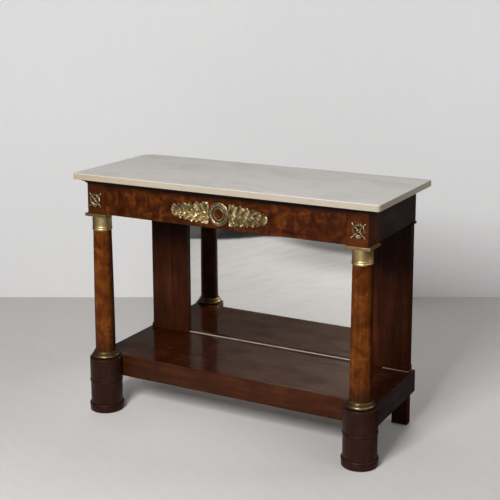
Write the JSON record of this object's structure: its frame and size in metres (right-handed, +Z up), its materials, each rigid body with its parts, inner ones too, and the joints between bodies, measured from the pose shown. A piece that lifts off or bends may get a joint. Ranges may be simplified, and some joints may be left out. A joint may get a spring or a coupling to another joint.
{
  "type": "pier table",
  "caption": "Marble-topped mahogany pier table with turned front columns on drum feet, mirror back, platform shelf and a hidden frieze drawer with gilt castings.",
  "frame": {"origin": "middle of the marble slab's plan, at floor level", "axes": "+X along the table, -Y is the front, +Z up"},
  "size_m": [1.136, 0.46, 0.86],
  "materials": {
    "marble": "honed pale warm grey marble",
    "flame_mahogany": "french polished flame veneer",
    "polished_mahogany": "french polished",
    "red_mahogany": "french polished",
    "dark_mahogany": "dark polished",
    "secondary_wood": "plain unpolished",
    "gilt_brass": "worn gilt bronze",
    "mirror_glass": "bevelled silvered plate"
  },
  "bodies": {
    "frame": {"abacus_left": "gilt_brass", "abacus_right": "gilt_brass", "capital_sleeves": "gilt_brass", "column_base_rings": "gilt_brass", "column_shaft_left": "polished_mahogany", "column_shaft_right": "polished_mahogany", "corner_block_left": "polished_mahogany", "corner_block_right": "polished_mahogany", "corner_casting_left": "gilt_brass", "corner_casting_right": "gilt_brass", "cornice_front": "red_mahogany", "cornice_return_left": "red_mahogany", "cornice_return_right": "red_mahogany", "drawer_guide_left": "secondary_wood", "drawer_guide_right": "secondary_wood", "drawer_kicker_left": "secondary_wood", "drawer_kicker_right": "secondary_wood", "drawer_runner_left": "secondary_wood", "drawer_runner_right": "secondary_wood", "drum_feet": "dark_mahogany", "drum_left": "dark_mahogany", "drum_right": "dark_mahogany", "frieze_back_rail": "secondary_wood", "frieze_bottom_rail": "secondary_wood", "frieze_end_left": "polished_mahogany", "frieze_end_right": "polished_mahogany", "frieze_top_rail": "red_mahogany", "mirror_backboard": "secondary_wood", "mirror_glass": "mirror_glass", "mirror_stile_left": "red_mahogany", "mirror_stile_right": "red_mahogany", "mirror_top_rail": "red_mahogany", "pilaster_cap_left": "dark_mahogany", "pilaster_cap_right": "dark_mahogany", "pilaster_left": "red_mahogany", "pilaster_plinth_left": "red_mahogany", "pilaster_plinth_right": "red_mahogany", "pilaster_right": "red_mahogany", "rear_foot_left": "red_mahogany", "rear_foot_right": "red_mahogany", "shelf_back_rail": "secondary_wood", "shelf_bearer_left": "secondary_wood", "shelf_bearer_right": "secondary_wood", "shelf_block_left": "secondary_wood", "shelf_block_right": "secondary_wood", "shelf_board": "polished_mahogany", "shelf_end_rail_left": "polished_mahogany", "shelf_end_rail_right": "polished_mahogany", "shelf_front_rail": "polished_mahogany"},
    "drawer": {"drawer_back": "secondary_wood", "drawer_bottom": "secondary_wood", "drawer_front": "flame_mahogany", "drawer_side_left": "secondary_wood", "drawer_side_right": "secondary_wood", "frieze_roundel": "gilt_brass", "frieze_spray_left": "gilt_brass", "frieze_spray_right": "gilt_brass"},
    "top": {"marble_top": "marble"}
  },
  "joints": [
    {"name": "drawer_slide", "type": "slide", "parent": "frame", "child": "drawer", "axis": [0, -1, 0], "range_m": [0, 0.25]},
    {"name": "slab_lift", "type": "slide", "parent": "frame", "child": "top", "axis": [0, 0, 1], "range_m": [0, 0.1]}
  ]
}
